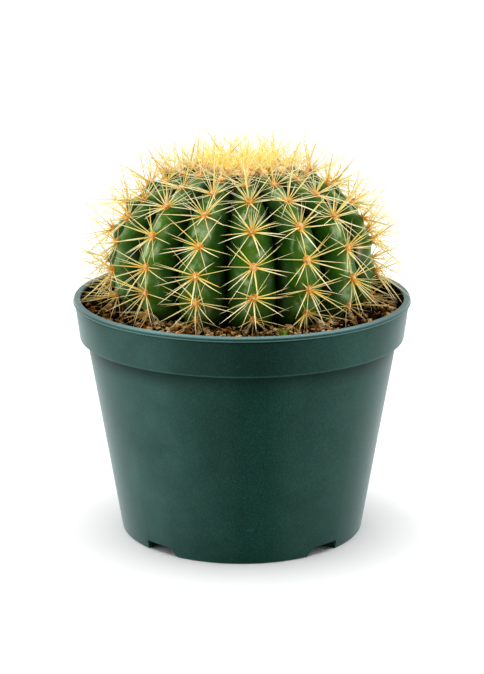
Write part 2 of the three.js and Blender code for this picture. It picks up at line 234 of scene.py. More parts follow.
def closeShape(merge=0.0005):  # merges doubles, turns the faces outwards and puts the place into the mesh
    bpy.ops.mesh.select_all(action="SELECT")
    bpy.ops.mesh.remove_doubles(threshold=merge * mm)
    bpy.ops.mesh.normals_make_consistent(inside=False)
    bpy.ops.object.mode_set(mode="OBJECT")
    bpy.ops.object.transform_apply(location=True, rotation=True, scale=True)


def ringShape(name, profile, sides, isFilled=True):  # pulls and scales one ring after another
    clearSelection()
    bpy.ops.mesh.primitive_circle_add(vertices=sides, radius=profile[0][0] * mm,
                                      location=(0, 0, profile[0][1] * mm), fill_type="NOTHING")
    piece = startShape(name)
    for (radius, height), (nextRadius, nextHeight) in zip(profile, profile[1:]):
        lift = (nextHeight - height) * mm
        grow = nextRadius / radius
        bpy.ops.mesh.extrude_region_move(TRANSFORM_OT_translate={"value": (0, 0, lift)})
        bpy.ops.transform.resize(value=(grow, grow, 1), center_override=(0, 0, 0))
    if isFilled:    # the open middles of the first and the last ring
        bpy.ops.mesh.select_all(action="SELECT")
        bpy.ops.mesh.fill_holes(sides=0)
    closeShape()
    return piece


def ballShape(name, segments, rings):  # a ball of radius 1 whose points are then placed by a formula
    clearSelection()
    bpy.ops.mesh.primitive_uv_sphere_add(segments=segments, ring_count=rings, radius=1, location=(0, 0, 0))
    piece = startShape(name)
    closeShape(0.0)
    return piece


def roundedCorners(corners, steps=4):  # (radius, height, rounding) to the points of a profile
    points = []
    for i, (radius, height, rounding) in enumerate(corners):
        here = Vector((radius, height))
        if rounding == 0 or i == 0 or i == len(corners) - 1:
            points.append((radius, height))
            continue
        before = Vector(corners[i - 1][:2]) - here
        after = Vector(corners[i + 1][:2]) - here
        reach = min(rounding, before.length * 0.49, after.length * 0.49)
        start = here + before.normalized() * reach
        end = here + after.normalized() * reach
        for step in range(steps + 1):
            t = step / steps
            point = start * (1 - t) ** 2 + here * 2 * t * (1 - t) + end * t ** 2
            points.append((point.x, point.y))
    return points


def eased(value, low, high):
    share = np.clip((value - low) / (high - low), 0.0, 1.0)
    return share * share * (3.0 - 2.0 * share)


def meshPoints(piece):
    points = np.empty(len(piece.data.vertices) * 3)
    piece.data.vertices.foreach_get("co", points)
    return points.reshape(-1, 3)


def placePoints(piece, points):
    piece.data.vertices.foreach_set("co", np.asarray(points, float).ravel())
    piece.data.update()


def paintPoints(piece, **values):  # one number a vertex, for the materials to read
    for name, numbers in values.items():
        attribute = piece.data.attributes.new(name, "FLOAT", "POINT")
        attribute.data.foreach_set("value", np.asarray(numbers, float).ravel())


def template(piece):  # takes a finished small shape out of the scene as points and faces
    points = meshPoints(piece) / mm
    faces = [tuple(face.vertices) for face in piece.data.polygons]
    bpy.data.objects.remove(piece)
    return points, faces


def sideways(direction):  # two directions square to this one
    helper = np.array((0.0, 0.0, 1.0)) if abs(direction[2]) < 0.9 else np.array((1.0, 0.0, 0.0))
    first = np.cross(helper, direction)
    first /= np.linalg.norm(first)
    return first, np.cross(direction, first)


def tipped(tilt, turn):  # a direction this far from straight up
    return np.array((math.sin(tilt) * math.cos(turn), math.sin(tilt) * math.sin(turn), math.cos(tilt)))


def aim(points, place, direction, width, length, bend=0.0, bendWay=None, roll=0.0):
    # stands a shape that points up, one unit long and wide, on a place, along a direction
    first, second = sideways(direction)
    a = first * math.cos(roll) + second * math.sin(roll)
    b = np.cross(direction, a)
    placed = place + np.outer(points[:, 0] * width, a) + np.outer(points[:, 1] * width, b)
    placed = placed + np.outer(points[:, 2] * length, direction)
    if bendWay is not None:
        placed = placed + np.outer(points[:, 2] ** 2 * bend * length, bendWay)
    return placed


def joinCopies(name, copies, smooth=True):  # copies: (points in mm, faces, {attribute: values})
    points = np.concatenate([c[0] for c in copies])
    faces = []
    start = 0
    for shape, shapeFaces, _ in copies:
        faces += [tuple(v + start for v in face) for face in shapeFaces]
        start += len(shape)
    mesh = bpy.data.meshes.new(name)
    mesh.from_pydata((points * mm).tolist(), [], faces)
    mesh.polygons.foreach_set("use_smooth", [smooth] * len(faces))
    piece = bpy.data.objects.new(name, mesh)
    bpy.context.scene.collection.objects.link(piece)
    for attribute in copies[0][2]:
        values = [np.broadcast_to(c[2][attribute], len(c[0])) for c in copies]
        paintPoints(piece, **{attribute: np.concatenate(values)})
    return piece


def settle(piece, material, slot, *nodes):  # gives a piece its material and body and hides its CAD nodes; slot is not used
    piece.data.materials.clear()
    piece.data.materials.append(material)
    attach(piece, "root")
    if nodes:
        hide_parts(*nodes)


# The floor

board = {"width": 12000.0, "mottle": 9.0, "tones": [(0.3, "#f6f6f6"), (0.7, "#f8f8f8")]}


def makeFloor():
    clearSelection()
    bpy.ops.mesh.primitive_plane_add(size=board["width"] * mm, location=(0, 0, 0))
    floor = startShape("floor")
    closeShape()
    # painted board: matt white, with the faintest mottling
    paint = mottled("paintedBoard", board["mottle"], board["tones"], Roughness=0.85, IOR=1.45)
    floor.data.materials.append(paint)


makeFloor()
print("camera, lights and floor ready")


# The pot

pot = {
    "rim": 76.0, "rimInner": 72.9, "height": 108.3, "bead": 1.9, "beadLip": 0.35,
    "bandTop": 75.3, "bandFoot": 73.2, "bandFootHeight": 90.3,
    "wallTop": 70.2, "foot": 55.3, "footRing": 2.6, "shell": 1.3, "floorUnderside": 3.4, "floorMiddle": 14.0,
    "segments": 192, "smoothTo": 38,
    "notches": {39.5: -1, 140.5: 1, 219.5: -1, 320.5: 1},   # azimuth: which side leans
    "notchWidth": 18.0, "notchHeight": 4.3, "notchLean": 4.0, "notchReach": (46.0, 60.0),
    "notchRounding": 0.5, "drainRadius": 4.0, "drainAt": 45.0,
    "tones": [(0.32, "#04352b"), (0.68, "#083f33")], "grainTones": [(0.40, "#b8b8b8"), (0.64, "#ffffff")],
    "cloudScale": 45.0, "grainScale": 2300.0, "markScale": (140.0, 140.0, 620.0),
    # the rim's pale colour and the flanks' paler colour are painted highlight and painted sheen; the near
    # black colour is painted shade
    "rubbed": "#678788", "scuff": "#3d6e62", "dust": "#5f807a", "paintedShadeColour": "#040604", "nap": "#dcf1f2",
}
potPaintedLight = {
    # painted shade on the inner wall: how dark, and the heights where it starts and fades out
    "stain": 0.95, "stainFrom": 20.0, "stainFade": (106.0, 107.6),  # heights up the inner wall
    "middle": (40.0, 70.0),                                         # fades across, from the front's middle
    # painted highlights on the lip, the bead's lip and the band's lower edge
    "lip": (0.30, 0.98), "bead": 0.42, "bandFoot": (0.15, 0.05),    # at the sides and in the middle
    # painted shade under the ledge, and on the middle of the band and of the wall
    "ledgeShade": 9.0,
    "bandShade": 0.55, "bandShadeFade": (8.0, 42.0),
    "wallShade": 0.22, "wallShadeRise": (15.0, 50.0), "wallShadeFade": (8.0, 35.0),
    # painted sheen: the flanks are paler where the side light catches them, more on the left one: place
    # across, share
    "dustFilm": [(-62, 0.09), (-56, 0.13), (-50, 0.165), (-39, 0.175), (-33, 0.17), (-28, 0.125), (-17, 0.08),
                 (-6, 0.04), (0, 0.0), (12, 0.0), (22, 0.06), (33, 0.06), (44, 0.065), (62, 0.045)],
}


def potPlastic():
    # polypropylene, injection moulded from a sparked tool: satin, with a fine grain and soft flow clouds
    material, tree, shader = newMaterial("mouldedPolypropylene", IOR=1.49, Specular_IOR_Level=0.04,
                                         Sheen_Roughness=0.39, Sheen_Tint=linear(pot["nap"]))
    place = objectPlace(tree)
    clouds = noiseAt(tree, place, pot["cloudScale"], detail=5.0, roughness=0.6)
    grain = noiseAt(tree, place, pot["grainScale"])
    colour = ramped(tree, clouds, pot["tones"])
    colour = mixed(tree, 1.0, colour, ramped(tree, grain, pot["grainTones"]), "MULTIPLY")
    colour = mixed(tree, ranged(tree, grain, (0.60, 0.72), (0.0, 0.13)), colour, pot["scuff"])
    # handling marks: thin pale scuffs, a few millimetres long
    marks = noiseAt(tree, stretched(tree, place, pot["markScale"]), 1.0, detail=3.0)
    colour = mixed(tree, ranged(tree, marks, (0.70, 0.82), (0.0, 0.30)), colour, pot["scuff"])
    # painted sheen on the flanks, a little cloudy
    uneven = ranged(tree, clouds, (0.3, 0.7), (0.7, 1.3))
    colour = mixed(tree, combined(tree, "MULTIPLY", painted(tree, "dust"), uneven), colour, pot["dust"])
    # painted highlights on the rim
    colour = mixed(tree, painted(tree, "rubbed"), colour, pot["rubbed"])
    # painted shade on the inner wall
    colour = mixed(tree, painted(tree, "stain"), colour, pot["paintedShadeColour"])
    # painted shade: under the band, and in the middle of the band and the wall, it is darker and has less of
    # a nap
    shade = painted(tree, "shade")
    colour = mixed(tree, ranged(tree, shade, target=(0.0, 0.72)), colour, pot["paintedShadeColour"])
    feed(tree, shader, Base_Color=colour, Sheen_Weight=ranged(tree, shade, target=(0.45, 0.24)),
         Roughness=ranged(tree, clouds, target=(0.30, 0.44)))
    roughen(tree, shader, grain, 0.35, 0.0001)
    return material


def potWall(height):  # the outer radius of the tapered wall
    return pot["foot"] + (pot["wallTop"] - pot["foot"]) * height / pot["bandFootHeight"]


def potProfile():
    innerFoot = pot["foot"] - pot["footRing"]
    top, ledge, shell = pot["height"], pot["bandFootHeight"], pot["shell"]
    beadFoot = top - pot["bead"]
    floorTop = pot["floorUnderside"] + shell
    return roundedCorners([
        (pot["floorMiddle"], pot["floorUnderside"], 0),
        (innerFoot, pot["floorUnderside"], 0.6),
        (innerFoot, 0.0, 0.4),
        (pot["foot"], 0.0, 0.8),
        (potWall(ledge - 9), ledge - 9, 0),            # rings for the shade under the band
        (potWall(ledge - 5), ledge - 5, 0),
        (potWall(ledge - 2), ledge - 2, 0),
        (pot["wallTop"], ledge, 0.6),                  # the wall meets the ledge under the band
        (pot["bandFoot"], ledge, 0),
        (pot["bandFoot"] + 0.07, ledge + 0.45, 0),
        (pot["bandFoot"] + 0.14, ledge + 0.9, 0),
        (pot["bandTop"] - 0.15, beadFoot - 0.7, 0.3),
        (pot["bandTop"] - 0.45, beadFoot - 0.1, 0.2),  # the crease under the bead
        (pot["rim"], beadFoot, 0.15),                  # the bead's lip catches the light
        (pot["rim"], beadFoot + 0.25, 0.12),
        (pot["rim"] - pot["beadLip"], beadFoot + 0.6, 0.2),
        (pot["rim"] - pot["beadLip"], top, 0.6),
        (pot["rimInner"], top, 0.6),
        (pot["rimInner"], beadFoot, 0.4),
        (pot["bandTop"] - shell, beadFoot - 1.2, 0.3),
        (pot["bandFoot"] - shell, ledge + shell, 0.6),
        (potWall(ledge) - shell, ledge + shell, 0.6),
        (potWall(floorTop) - shell, floorTop, 1.2),
        (pot["floorMiddle"], floorTop, 0),
    ])


def cutAway(piece, cutter):
    cut = piece.modifiers.new("cut", "BOOLEAN")
    cut.object = cutter
    cut.operation = "DIFFERENCE"
    cut.solver = "EXACT"
    clearSelection()
    bpy.context.view_layer.objects.active = piece
    bpy.ops.object.modifier_apply(modifier="cut")
    bpy.data.objects.remove(cutter)


def cutNotch(piece, azimuth, leaningSide):
    inner, outer = pot["notchReach"]
    low, high = -1.0, pot["notchHeight"]
    bpy.ops.mesh.primitive_cube_add(
        size=1, location=(0, -(inner + outer) / 2 * mm, (high + low) / 2 * mm),
        scale=(pot["notchWidth"] * mm, (outer - inner) * mm, (high - low) * mm))
    cutter = startShape("cutter")
    bpy.ops.mesh.select_all(action="DESELECT")
    bpy.ops.object.mode_set(mode="OBJECT")
    for vertex in cutter.data.vertices:      # the upper edge of the side that leans
        vertex.select = vertex.co.z > 0 and vertex.co.x * leaningSide > 0
    bpy.ops.object.mode_set(mode="EDIT")
    bpy.ops.transform.translate(value=(-leaningSide * pot["notchLean"] * mm, 0, 0))
    bpy.ops.mesh.select_all(action="DESELECT")
    bpy.ops.object.mode_set(mode="OBJECT")
    for edge in cutter.data.edges:           # the notch's two upper corners are a little round
        a, b = (cutter.data.vertices[v].co for v in edge.vertices)
        edge.select = a.z > 0 and b.z > 0 and abs(a.x - b.x) < 1e-6
    bpy.ops.object.mode_set(mode="EDIT")
    bpy.ops.mesh.bevel(offset=pot["notchRounding"] * mm, segments=3)
    closeShape()
    cutter.rotation_euler = (0, 0, math.radians(azimuth))
    bpy.ops.object.transform_apply(rotation=True)
    cutAway(piece, cutter)


def cutDrain(piece, azimuth):
    turn = math.radians(azimuth)
    middle, depth = 4.0, 6.0                 # right through the floor
    centre = (pot["drainAt"] * math.sin(turn) * mm, -pot["drainAt"] * math.cos(turn) * mm, middle * mm)
    bpy.ops.mesh.primitive_cylinder_add(vertices=40, radius=pot["drainRadius"] * mm, depth=depth * mm,
                                        location=centre)
    cutter = startShape("cutter")
    closeShape()
    cutAway(piece, cutter)


def paintPot(shellPiece):
    points = meshPoints(shellPiece) / mm
    height, across = points[:, 2], np.abs(points[:, 0])
    reach = np.hypot(points[:, 0], points[:, 1])
    top, ledge = pot["height"], pot["bandFootHeight"]
    beadFoot = top - pot["bead"]
    outside = np.interp(height, [0, ledge - 0.1, ledge + 0.1, top],
                        [potWall(0), potWall(ledge), pot["bandFoot"], pot["bandTop"] + 0.5])
    inside = reach < outside - 0.7

    # painted shade: the inner wall is near black from low down up to just under the lip
    stain = potPaintedLight["stain"] * (1 - eased(height, *potPaintedLight["stainFade"]))
    paintPoints(shellPiece, stain=np.where(inside & (height > potPaintedLight["stainFrom"]), stain, 0))

    # painted highlight: the lip is paler, most in the front's middle, and thin pale lines run along the
    # bead's lip and the band's lower edge, more at the sides
    middle = 1 - eased(across, *potPaintedLight["middle"])
    lip = eased(height, top - 0.75, top - 0.3) * np.interp(middle, (0, 1), potPaintedLight["lip"])
    isBead = (np.abs(height - beadFoot - 0.3) < 0.2) & (reach > pot["rim"] - 0.3)
    isBandFoot = (np.abs(height - ledge - 0.22) < 0.3) & (reach > pot["bandFoot"] - 0.05)
    bandFoot = isBandFoot * np.interp(middle, (0, 1), potPaintedLight["bandFoot"])
    paintPoints(shellPiece, rubbed=np.max([lip, potPaintedLight["bead"] * isBead, bandFoot], axis=0))

    # painted shade: under the ledge, on the band's middle and on the wall's middle
    under = eased(height, ledge - potPaintedLight["ledgeShade"], ledge) * (height < ledge - 0.01)
    isBand = (height > ledge + 0.5) & (height < beadFoot + 0.1)
    onBand = potPaintedLight["bandShade"] * isBand * (1 - eased(across, *potPaintedLight["bandShadeFade"]))
    onWall = (potPaintedLight["wallShade"] * eased(height, *potPaintedLight["wallShadeRise"]) * (height < ledge)
              * (1 - eased(across, *potPaintedLight["wallShadeFade"])))
    paintPoints(shellPiece, shade=np.where(inside, 0, np.max([under, onBand, onWall], axis=0)))

    # painted sheen on the flanks, by place across
    dust = np.interp(points[:, 0], *zip(*potPaintedLight["dustFilm"]))
    paintPoints(shellPiece, dust=np.where(inside, 0, dust))


def makePot():
    shellPiece = ringShape("pot_shell", potProfile(), pot["segments"])
    for azimuth, leaningSide in pot["notches"].items():
        cutNotch(shellPiece, azimuth, leaningSide)
        cutDrain(shellPiece, azimuth)
    clearSelection()
    shellPiece.select_set(True)
    bpy.context.view_layer.objects.active = shellPiece
    bpy.ops.object.shade_smooth_by_angle(angle=math.radians(pot["smoothTo"]))
    paintPot(shellPiece)
    settle(shellPiece, potPlastic(), "pot_plastic", "pot")


makePot()
print("pot ready")


# The cactus stem

stem = {
    "radius": 59.2, "widestHeight": 118.0, "upperHeight": 49.0, "lowerHeight": 41.0,
    "upperRoundness": 2.45, "lowerRoundness": 1.6, "crownDip": 3.0, "crownDipRadius": 12.0,
    "furrowDepth": 9.0, "furrowFrom": 4.0, "tubercle": 1.2, "swellPeak": 1.4, "swellNarrow": 0.75,
    "pinch": 0.5, "lean": 4.5, "crowding": 2.0,
    "swellFrom": (8.0, 26.0), "swellTo": (98.0, 106.0),     # arcs where the swellings come and go
    "ribs": 15, "columns": 22, "rings": 176,
    # the darkening from the crest towards the furrow is painted shade
    "tones": [(0.04, "#507524"), (0.34, "#325906"), (0.66, "#193e02"), (0.95, "#031000")],  # crest to furrow
    "speckTones": [(0.35, "#e0e0e0"), (0.62, "#ffffff")],
    "blotchScale": 110.0, "fineScale": 900.0, "bloomScale": 112.0, "bloomStretch": (1.0, 1.0, 0.55),
    # the bloom colour also carries a painted highlight
    "bloomAndHighlightColour": "#a9bf90", "shadeNearSoilColour": "#2a4410", "scarColour": "#b09a74",
    # painted shade towards the soil: how strong, and over which heights
    "low": 0.7, "lowFade": (100.0, 132.0),
    # old rubs that have dried to cork: rib position, arc from and to, half width in ribs, strength
    "scars": [(12.80, 40, 62, 0.030, 0.9), (12.79, 64, 74, 0.022, 0.6), (12.78, 76, 90, 0.026, 0.7),
              (2.74, 66, 76, 0.035, 0.7), (0.10, 47, 51, 0.035, 0.5), (14.12, 88, 92, 0.04, 0.5)],
}
ribStep = 360 / stem["ribs"]
areoles = {
    # each rib's areoles from the top down, by the length along the crest
    "arcs": [
        [31.2, 42.5, 57.4, 72.2, 85.0, 94.8], [31.6, 43.0, 56.4, 70.6, 82.9, 93.2],
        [30.2, 41.8, 54.4, 68.9, 82.0, 94.0], [28.6, 39.3, 51.4, 60.6, 70.9, 84.8, 96.0],
        [32.4, 44.0, 57.1, 71.2, 84.5, 95.5], [27.0, 38.9, 52.3, 67.1, 81.6, 94.4],
        [31.0, 42.1, 55.0, 68.8, 82.1, 93.4], [35.0, 47.2, 61.5, 76.4, 89.6],
        [28.0, 39.6, 52.8, 67.4, 81.5, 94.2], [32.0, 43.2, 56.2, 70.0, 83.1, 94.1],
        [26.5, 38.6, 52.1, 67.1, 81.8, 94.7], [30.5, 41.7, 54.8, 68.8, 82.3, 93.6],
        [27.5, 36.0, 48.0, 58.5, 69.8, 82.2, 93.0], [25.6, 36.2, 48.2, 62.4, 75.8, 86.7, 95.8],
        [27.0, 37.6, 50.4, 64.2, 76.6, 87.6, 96.0]],
    # how far the crest wanders at each of them, in degrees, on the ribs in front
    "turns": {
        0: [-1.4, 0.1, -0.1, 0.3, 0.1, 0.3], 1: [-3.4, -1.6, -1.1, -1.1, -1.2, -1.7],
        2: [-2.3, -2.8, -2.8, -2.4, -1.9, -3.0], 3: [-1.4, -1.4, -2.0, 1.3, 0.6, 0.8, -0.1],
        12: [0.1, 0.1, 1.4, 0.3, -0.7, -0.5, 1.6], 13: [-0.6, -0.6, 0.6, 1.2, 1.5, 1.8, 1.0],
        14: [0.8, 0.8, 1.0, 1.5, 1.2, 1.5, 1.0]},
    "turnsFade": (0.0, 30.0), "grownLift": 0.9,         # lift: the share of the swelling that they sit on
    # young ones: above the first grown one, at most so far down, lifted off the crest
    "above": 8.5, "lowestYoung": 21.5, "youngLift": 1.4,
    "youngRings": [(14.6, 0.9, 2, 1.6), (8.4, 1.3, 3, 1.8)],    # arc, its step, ribs in a round, lift
    "innermost": (4.0, 2.0), "innermostRibs": (0, 3, 6, 9, 12),
}


def traceCrest():  # the rib crest from the crown to the buried base, by its own length
    turn = np.linspace(0.0, math.pi, 6001)
    isUpper = np.cos(turn) >= 0
    power = np.where(isUpper, 2 / stem["upperRoundness"], 2 / stem["lowerRoundness"])
    half = np.where(isUpper, stem["upperHeight"], stem["lowerHeight"])
    radius = stem["radius"] * np.abs(np.sin(turn)) ** power
    rise = np.sign(np.cos(turn)) * np.abs(np.cos(turn)) ** power
    dip = np.where(isUpper, stem["crownDip"] * np.exp(-(radius / stem["crownDipRadius"]) ** 2), 0)
    height = stem["widestHeight"] + half * rise - dip
    length = np.concatenate([[0], np.cumsum(np.hypot(np.diff(radius), np.diff(height)))])
    return length, radius, height


crestLength, crestRadius, crestHeight = traceCrest()
crestSlope = np.gradient(crestRadius, crestLength), np.gradient(crestHeight, crestLength)


def crestAt(arc):  # radius, height, and the direction of travel there
    radius, height = np.interp(arc, crestLength, crestRadius), np.interp(arc, crestLength, crestHeight)
    alongRadius, alongHeight = (np.interp(arc, crestLength, s) for s in crestSlope)
    size = np.hypot(alongRadius, alongHeight) + 1e-12
    return radius, height, alongRadius / size, alongHeight / size


def offCrest(azimuth, arc, lift):  # points lifted off the crest line, turned to their azimuths
    radius, height, alongRadius, alongHeight = crestAt(arc)
    out = radius - lift * alongHeight
    return np.stack([np.sin(azimuth) * out, -np.cos(azimuth) * out, height + lift * alongRadius], axis=-1)


def ribAzimuth(rib, arc):
    rib = rib % stem["ribs"]
    even = stem["lean"] + ribStep * rib + stem["crowding"] * math.sin(math.radians(ribStep * rib))
    arcs = areoles["arcs"][rib]
    turns = areoles["turns"].get(rib, [0.0] * len(arcs))
    return even + np.interp(arc, arcs, turns) * eased(arc, *areoles["turnsFade"])


def levelAt(rib, arc):  # 0 at the rib's first grown areole, 1 at its second, 0.5 half way
    arcs = areoles["arcs"][rib]
    known = [arcs[0] - 19, arcs[0] - 10] + arcs + [arcs[-1] + 10, arcs[-1] + 20]
    return np.interp(arc, known, np.arange(len(known)) - 2.0)


def stemSurface(arc, ribPosition):  # points, furrow share and areole nearness; ribPosition 2.5 is a furrow
    rib = np.round(ribPosition).astype(int)
    step = (ribPosition - rib) * 2
    share = np.sin(np.abs(step) * np.pi / 2)
    azimuth = np.zeros_like(arc)
    near = np.zeros_like(arc)
    for k in range(stem["ribs"]):
        mine = rib % stem["ribs"] == k
        at = arc[mine]
        centre = ribAzimuth(k, at)
        before, after = ribAzimuth(k - 1, at), ribAzimuth(k + 1, at)
        before -= 360 * (before > centre)
        after += 360 * (after < centre)
        edge = (centre + np.where(step[mine] < 0, before, after)) / 2
        azimuth[mine] = np.radians(centre + (edge - centre) * share[mine])
        near[mine] = 0.5 + 0.5 * np.cos(2 * np.pi * levelAt(k, at))
    rounding = 1 - np.sqrt(np.clip(1 - share ** 2, 0, 1))
    depth = stem["furrowDepth"] * eased(crestAt(arc)[0], stem["furrowFrom"], stem["radius"]) * rounding
    fade = eased(arc, *stem["swellFrom"]) * (1 - eased(arc, *stem["swellTo"]))
    bump = stem["tubercle"] * fade * near ** stem["swellPeak"] * (1 - stem["swellNarrow"] * share)
    chin = stem["pinch"] * fade * (1 - near) * (1 - share)      # the crest is pinched in between two areoles
    return offCrest(azimuth, arc, bump - chin - depth), share, near * fade


def stemSkin():
    # live cactus skin: a waxy, leathery cuticle, satin green, with grey bloom on the crests where it isn't
    # rubbed, which also carries painted highlights; the darkening from the crest to near black in the furrows
    # is painted shade
    material, tree, shader = newMaterial("waxyCactusSkin", IOR=1.40, Specular_IOR_Level=0.10)
    place = objectPlace(tree)
    blotch = noiseAt(tree, place, stem["blotchScale"], detail=4.0, roughness=0.55)
    fine = noiseAt(tree, place, stem["fineScale"], detail=3.0)
    shift = ranged(tree, blotch, (0.25, 0.75), (-0.16, 0.16))
    across = combined(tree, "ADD", painted(tree, "furrow"), shift)
    # painted shade: the colour darkens from the crest to near black in the furrows
    colour = ramped(tree, across, stem["tones"])
    # bloom, with a painted highlight on it: patches of a few millimetres, strongest on the crest between two
    # areoles
    patch = noiseAt(tree, stretched(tree, place, stem["bloomStretch"]), stem["bloomScale"], detail=5.0,
                    distortion=1.4)
    patchy = ranged(tree, patch, (0.46, 0.66), smooth=True)
    onCrest = ranged(tree, across, (0.15, 0.62), (0.75, 0.0), smooth=True)
    between = ranged(tree, painted(tree, "areole"), (0.15, 0.85), (1.0, 0.25))
    bloomAndHighlight = combined(tree, "MULTIPLY", combined(tree, "MULTIPLY", patchy, onCrest), between)
    colour = mixed(tree, bloomAndHighlight, colour, stem["bloomAndHighlightColour"])
    colour = mixed(tree, 1.0, colour, ramped(tree, fine, stem["speckTones"]), "MULTIPLY")
    # painted shade: the stem is darker towards the soil
    colour = mixed(tree, painted(tree, "low"), colour, stem["shadeNearSoilColour"])
    # dried scars, broken up by the noise of the bloom
    torn = ranged(tree, patch, (0.30, 0.60))
    colour = mixed(tree, combined(tree, "MULTIPLY", painted(tree, "scar"), torn), colour, stem["scarColour"])
    feed(tree, shader, Base_Color=colour, Roughness=ranged(tree, bloomAndHighlight, target=(0.36, 0.66)))
    coarse = roughen(tree, shader, blotch, 0.30, 0.0008)
    roughen(tree, shader, fine, 0.20, 0.0002, coarse)
    return material


def makeStem():
    body = ballShape("stem_body", stem["ribs"] * stem["columns"], stem["rings"])
    # every point of the ball is drawn out to the rib, furrow and swelling that grow there
    ball = meshPoints(body)
    around = np.degrees(np.arctan2(ball[:, 0], -ball[:, 1])) % 360 / ribStep
    arc = np.arccos(np.clip(ball[:, 2], -1, 1)) / np.pi * crestLength[-1]
    points, share, near = stemSurface(arc, around)
    placePoints(body, points * mm)
    # painted shade: darker towards the soil
    low = (1 - eased(points[:, 2], *stem["lowFade"])) * stem["low"]
    scar = np.zeros(len(points))
    for position, start, end, width, strength in stem["scars"]:
        across = np.exp(-((around - position) / width) ** 2)
        within = eased(arc, start - 2, start + 2) * (1 - eased(arc, end - 2, end + 2))
        scar = np.maximum(scar, strength * across * within)
    # furrow carries the painted shade from crest to furrow
    paintPoints(body, furrow=share, areole=near, low=low, scar=scar)
    body.data.shade_smooth()
    settle(body, stemSkin(), "stem_skin", "cactus_stem")


makeStem()
print("stem ready")


# Areoles: the felted pads along the crests

pad = {
    "radius": 1.75, "height": 1.3, "youngRadius": 1.95, "youngHeight": 2.21,
    "sizes": (0.88, 1.12), "smallest": 0.62,         # at the crown's middle they are this share as large
    "stretches": (1.0, 1.22),                        # a little longer down the rib than across
    "hairs": 42, "hairLength": 1.05, "hairLengths": (0.6, 1.3), "hairWidth": 0.13, "hairTilts": (5, 88),
    # the palest colour at the top of each pad is a painted highlight
    "hairTones": (-0.20, -0.05, 0.12, 0.55), "padTones": (-0.12, 0.02), "padHighlight": 0.34,
    "tuftScale": 1500.0,
    "felt": [(0.30, "#ac6a16"), (0.52, "#dd982c"), (0.72, "#f8ca80"), (0.86, "#fff2d8")],
    "youngFelt": [(0.30, "#e8a450"), (0.52, "#f9c274"), (0.72, "#fcd898"), (0.86, "#fff2d8")],
}


def areoleFrame(rib, arc, lift=0.0, swing=0.0):  # the place on the crest, and the ways out, down and sideways
    radius, height, alongRadius, alongHeight = (float(v) for v in crestAt(arc))
    turn = math.radians(float(ribAzimuth(rib, arc)) + swing)
    ray = np.array((math.sin(turn), -math.cos(turn), 0.0))
    up = np.array((0.0, 0.0, 1.0))
    out = -alongHeight * ray + alongRadius * up
    down = alongRadius * ray + alongHeight * up
    side = np.array((math.cos(turn), math.sin(turn), 0.0))
    return {"rib": rib, "arc": arc, "point": ray * radius + up * height + out * lift,
            "out": out, "down": down, "side": side}


def listAreoles():  # the grown ones, and the young ones in rings round the crown's middle
    grown, young = [], []
    for rib in range(stem["ribs"]):
        arcs = areoles["arcs"][rib]
        grown += [areoleFrame(rib, arc, stem["tubercle"] * areoles["grownLift"]) for arc in arcs]
        highest = min(arcs[0] - areoles["above"], areoles["lowestYoung"])
        young.append(areoleFrame(rib, highest, areoles["youngLift"]))
        for arc, step, count, lift in areoles["youngRings"]:
            young.append(areoleFrame(rib, arc + step * (rib % count), lift))
    young += [areoleFrame(rib, *areoles["innermost"]) for rib in areoles["innermostRibs"]]
    return grown, young


grownAreoles, youngAreoles = listAreoles()


def padFelt(name, tones):
    # wool felt: matt, tangled short hairs, warm tan with paler fibre ends
    material, tree, shader = newMaterial(name, Roughness=0.95, IOR=1.45,
                                         Sheen_Weight=0.35, Sheen_Roughness=0.45)
    tuft = noiseAt(tree, objectPlace(tree), pad["tuftScale"], detail=3.0, roughness=0.65)
    toned = combined(tree, "ADD", tuft, painted(tree, "tone"))
    feed(tree, shader, Base_Color=ramped(tree, toned, tones))
    roughen(tree, shader, tuft, 0.8, 0.0004)
    return material


def padShape():
    clearSelection()
    bpy.ops.mesh.primitive_uv_sphere_add(segments=14, ring_count=9, radius=1 * mm, location=(0, 0, 0))
    dome = startShape("pad")
    bpy.ops.transform.vertex_random(offset=0.10 * mm, seed=5)
    closeShape()
    return template(dome)


def hairShape():
    clearSelection()
    bpy.ops.mesh.primitive_cone_add(vertices=3, radius1=1 * mm, depth=1 * mm, location=(0, 0, 0.5 * mm),
                                    end_fill_type="NGON")
    hair = startShape("hair")
    closeShape()
    return template(hair)


def padCopies(spots, radius, height, dome, hair):
    copies = []
    for spot in spots:
        grown = pad["smallest"] + (1 - pad["smallest"]) * float(eased(spot["arc"], 3.0, 20.0))
        size = dice.uniform(*pad["sizes"]) * grown
        stretch = dice.uniform(*pad["stretches"])
        points = (spot["point"] + np.outer(dome[0][:, 0] * radius * size, spot["side"])
                  + np.outer(dome[0][:, 1] * radius * size * stretch, spot["down"])
                  + np.outer(dome[0][:, 2] * height * size, spot["out"]))
        # painted highlight: the top of each pad is the palest
        pale = np.clip(dome[0][:, 2], 0, 1) ** 7 * pad["padHighlight"]
        copies.append((points, dome[1], {"tone": pale + dice.uniform(*pad["padTones"])}))
        for _ in range(pad["hairs"]):
            clock = dice.uniform(0, 2 * math.pi)
            tilt = math.radians(dice.uniform(*pad["hairTilts"]))
            flat = (spot["side"] * math.sin(clock) + spot["down"] * math.cos(clock)) * math.sin(tilt)
            raised = spot["out"] * math.cos(tilt)
            root = spot["point"] + radius * 0.8 * math.sin(tilt) * flat + height * 0.7 * raised
            length = pad["hairLength"] * dice.uniform(*pad["hairLengths"])
            points = aim(hair[0], root, flat + raised, pad["hairWidth"], length)
            copies.append((points, hair[1], {"tone": dice.choice(pad["hairTones"])}))
    return copies


